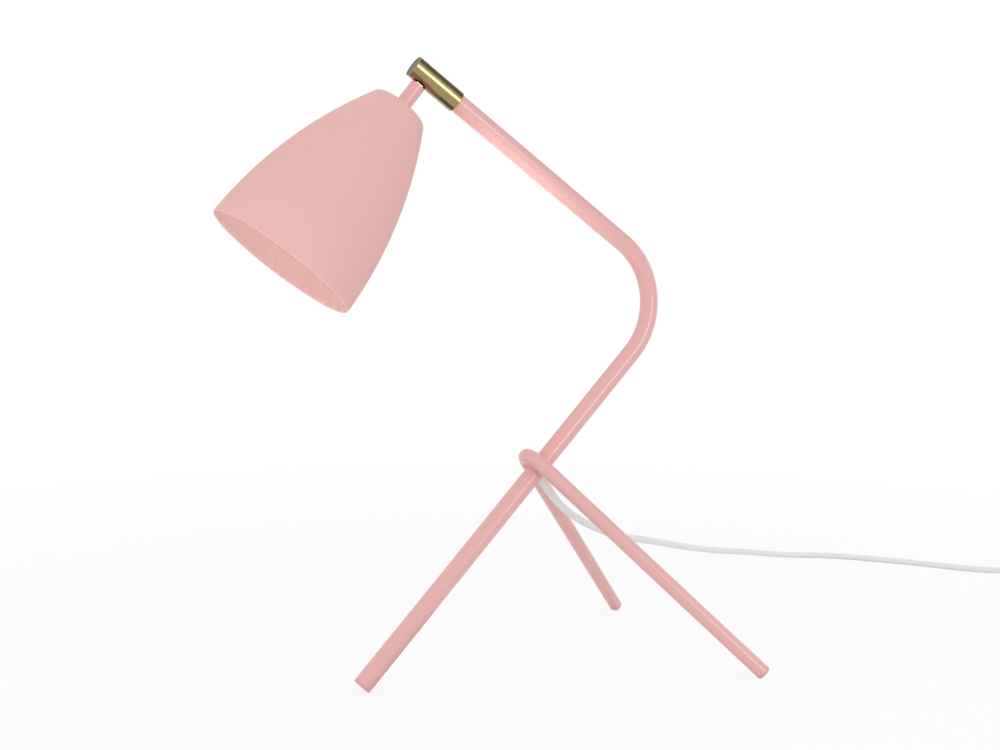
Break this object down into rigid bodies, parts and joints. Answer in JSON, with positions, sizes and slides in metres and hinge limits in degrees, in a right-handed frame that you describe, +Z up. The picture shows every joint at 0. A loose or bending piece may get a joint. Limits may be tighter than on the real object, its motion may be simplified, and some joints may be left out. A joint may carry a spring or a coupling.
{
  "type": "tripod table lamp",
  "caption": "Tripod table lamp with a bent tube stem and arm, a hairpin pair of rear legs, a bullet shade on a brass swivel and tilting neck, and a cord with a switch.",
  "frame": {"origin": "on the floor, under the middle of the lamp's bounding box without its free cord", "axes": "+Z up, -X the way that the shade points, the lamp's middle plane is XZ"},
  "size_m": [0.8934, 0.4982, 0.483],
  "materials": {
    "pink_paint": "matt powder paint, dusty pink",
    "pink_plastic": "moulded plastic in the paint's pink",
    "brass_finish": "brushed and clear coated",
    "plated_steel": "zinc plated",
    "grey_plastic": "moulded",
    "cord_plastic": "smooth sheath, pale grey",
    "core_plastic": "core insulation",
    "switch_plastic": "moulded",
    "holder_plastic": "moulded",
    "contact_brass": "bare",
    "bulb_metal": "bare screw cap",
    "bulb_plastic": "opal white",
    "black_plastic": "pin insulation"
  },
  "bodies": {
    "stand": {"stem_tube": "pink_paint", "rear_legs": "pink_paint", "leg_braze": "pink_paint", "front_foot_plug": "pink_plastic", "rear_foot_pads": "pink_plastic", "rocker_pin": "plated_steel", "switch_screws": "plated_steel", "cord_clip": "plated_steel", "strain_relief": "grey_plastic", "arm_end_bush": "grey_plastic", "cord_tail": "cord_plastic", "cord_to_switch": "cord_plastic", "cord_to_coil": "cord_plastic", "cord_coil": "cord_plastic", "cord_to_plug": "cord_plastic", "cords_in_switch": "cord_plastic", "stem_wires": "core_plastic", "switch_base": "switch_plastic", "switch_cover": "switch_plastic", "cord_clamps": "switch_plastic", "plug_body": "switch_plastic", "switch_terminals": "contact_brass", "plug_pins": "contact_brass", "pin_sleeves": "black_plastic"},
    "head": {"swivel_sleeve": "brass_finish", "sleeve_end_cap": "brass_finish", "pivot_cradle": "brass_finish", "tilt_pin": "plated_steel", "wave_washer": "plated_steel", "stop_screw": "plated_steel"},
    "shade": {"tilt_knuckle": "brass_finish", "tilt_washers": "plated_steel", "neck": "pink_paint", "shade": "pink_paint", "nipple": "plated_steel", "shade_washer": "plated_steel", "lock_nut": "plated_steel", "holder_cap": "holder_plastic", "holder_body": "holder_plastic", "screw_shell": "contact_brass", "centre_contact": "contact_brass", "bulb_cap": "bulb_metal", "bulb_housing": "bulb_plastic", "bulb_globe": "bulb_plastic", "shade_wires": "core_plastic"},
    "rocker": {"switch_rocker": "switch_plastic", "contact_bridge": "contact_brass"}
  },
  "joints": [
    {"name": "head_swivel", "type": "hinge", "parent": "stand", "child": "head", "pos_m": [-0.04517, 0, 0.46942], "axis": [-0.8241, 0, 0.5664], "range_deg": [-72.76, 77.24]},
    {"name": "shade_tilt", "type": "hinge", "parent": "head", "child": "shade", "pos_m": [-0.04517, 0, 0.46942], "axis": [-0.0221, -0.9992, -0.0322], "range_deg": [-6.3, 13.7]},
    {"name": "switch_rocker", "type": "hinge", "parent": "stand", "child": "rocker", "pos_m": [0.6476, -0.028, 0.0134], "axis": [1, 0, 0], "range_deg": [0, 16]}
  ]
}
